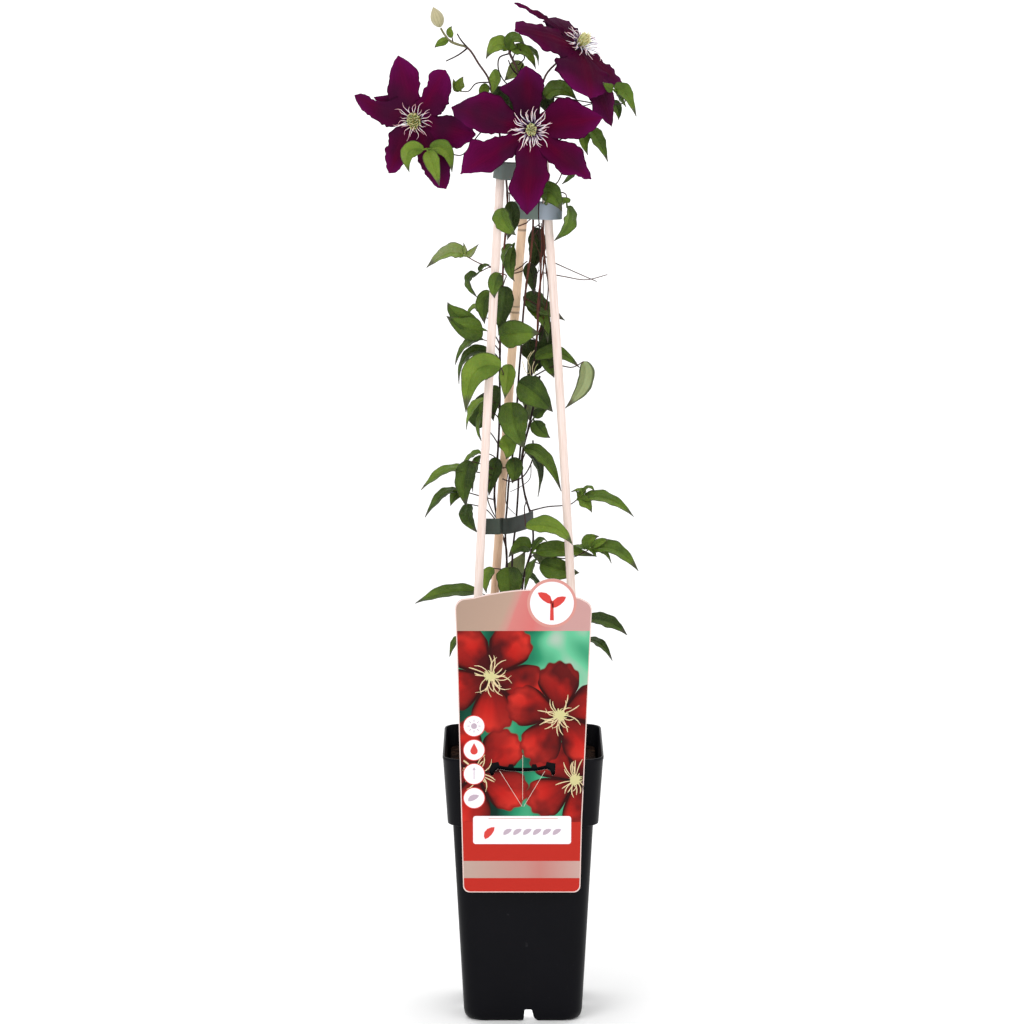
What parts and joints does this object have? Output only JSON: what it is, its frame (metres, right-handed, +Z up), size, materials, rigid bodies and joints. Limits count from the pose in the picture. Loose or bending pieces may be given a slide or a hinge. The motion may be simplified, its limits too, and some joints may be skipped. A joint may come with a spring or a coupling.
{
  "type": "potted climbing plant",
  "caption": "Flowering climber with large star-shaped blooms, tied with straps to a trellis of canes in a square black pot with a picture label.",
  "frame": {"origin": "centre of the pot's flat underside, on the ground", "axes": "+Z up along the canes, -Y towards the front where the label hangs, +X to the right seen from the front"},
  "size_m": [0.2297, 0.1325, 0.8306],
  "materials": {
    "pot_plastic": "satin",
    "potting_mix": "matte",
    "pale_wood": "matte",
    "bamboo": "satin",
    "strap_plastic": "satin",
    "label_card": "satin",
    "leaf": "satin",
    "tepal": "matte",
    "filament": "satin",
    "boss": "satin",
    "bud": "matte"
  },
  "bodies": {
    "root": {"pot": "pot_plastic", "soil": "potting_mix", "cane_left": "pale_wood", "cane_right": "pale_wood", "cane_bamboo": "bamboo", "strap_lower": "strap_plastic", "strap_middle": "strap_plastic", "strap_upper": "strap_plastic", "label": "label_card", "stem_centre": "leaf", "stem_right": "leaf", "stem_left": "leaf", "stem_low": "leaf", "bloom_front_tepals": "tepal", "bloom_front_stamens": "filament", "bloom_front_boss": "boss", "bloom_left_tepals": "tepal", "bloom_left_stamens": "filament", "bloom_left_boss": "boss", "bloom_right_tepals": "tepal", "bloom_right_stamens": "filament", "bloom_right_boss": "boss", "bud": "bud"}
  },
  "joints": []
}
